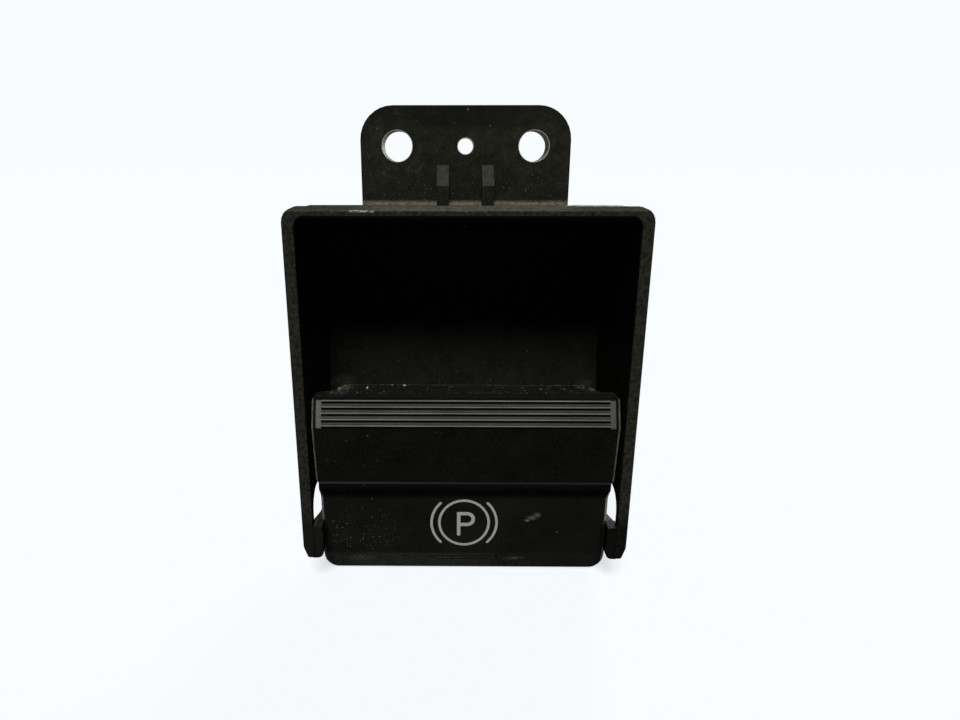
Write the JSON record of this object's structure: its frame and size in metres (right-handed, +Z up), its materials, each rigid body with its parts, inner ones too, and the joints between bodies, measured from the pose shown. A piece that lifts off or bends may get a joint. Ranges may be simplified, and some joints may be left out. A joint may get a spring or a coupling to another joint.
{
  "type": "electric parking brake switch",
  "caption": "Dashboard parking brake switch: a scooped finger pocket with a mounting plate above it and a ribbed, sprung pull-and-push lever below, with its contact module behind.",
  "frame": {"origin": "midway between the two fixing holes, on the rear faces of their bosses, which is the plane that the switch is screwed against", "axes": "+X to the viewer's right, +Y into the dashboard, +Z up"},
  "size_m": [0.071, 0.0447, 0.1034],
  "materials": {
    "frame_plastic": "fine moulded grain, black",
    "lever_plastic": "satin, black",
    "carrier_plastic": "moulded, dark grey",
    "housing_plastic": "moulded, dark grey",
    "cover_plastic": "moulded, dark grey",
    "slider_plastic": "moulded, natural",
    "smoked_lens": "smooth, smoked",
    "clear_plastic": "clear",
    "led_white": "smooth",
    "board_green": "coated board",
    "component_black": "moulded",
    "copper": "bright strip",
    "tinned_brass": "tinned",
    "axle_steel": "ground",
    "screw_steel": "zinc plated",
    "spring_steel": "drawn wire and strip",
    "rubber": "moulded"
  },
  "bodies": {
    "root": {"frame": "frame_plastic", "hinge_axle": "axle_steel", "axle_clip_left": "spring_steel", "axle_clip_right": "spring_steel", "stop_buffer_left": "rubber", "stop_buffer_right": "rubber", "switch_housing": "housing_plastic", "rear_cover": "cover_plastic", "circuit_board": "board_green", "resistor_left": "component_black", "resistor_right": "component_black", "diode_left": "component_black", "diode_right": "component_black", "indicator_led": "led_white", "return_spring_upper_left": "spring_steel", "return_spring_upper_right": "spring_steel", "return_spring_lower_left": "spring_steel", "return_spring_lower_right": "spring_steel", "terminal_pin_1": "tinned_brass", "terminal_pin_2": "tinned_brass", "terminal_pin_3": "tinned_brass", "terminal_pin_4": "tinned_brass", "terminal_pin_5": "tinned_brass", "terminal_pin_6": "tinned_brass", "terminal_pin_7": "tinned_brass", "terminal_pin_8": "tinned_brass", "module_screw_left": "screw_steel", "module_screw_right": "screw_steel", "cover_screw_left": "screw_steel", "cover_screw_right": "screw_steel"},
    "lever": {"lever_cover": "lever_plastic", "lever_carrier": "carrier_plastic", "indicator_lens": "smoked_lens", "light_guide": "clear_plastic", "lever_screw_left": "screw_steel", "lever_screw_right": "screw_steel"},
    "slider": {"contact_slider": "slider_plastic", "contact_wiper_left": "copper", "contact_wiper_right": "copper"}
  },
  "joints": [
    {"name": "lever_hinge", "type": "hinge", "parent": "root", "child": "lever", "pos_m": [0, -0.017, -0.0812], "axis": [1, 0, 0], "range_deg": [-5, 10], "stiffness_Nm_per_rad": 1.5, "deforming": ["return_spring_upper_left", "return_spring_upper_right", "return_spring_lower_left", "return_spring_lower_right"]},
    {"name": "contact_slide", "type": "slide", "parent": "root", "child": "slider", "axis": [0, 0, 1], "range_m": [-0.0011, 0.0022]}
  ],
  "couplings": [
    {"joint": "contact_slide", "follows": "lever_hinge", "m_per_rad": 0.0125}
  ]
}
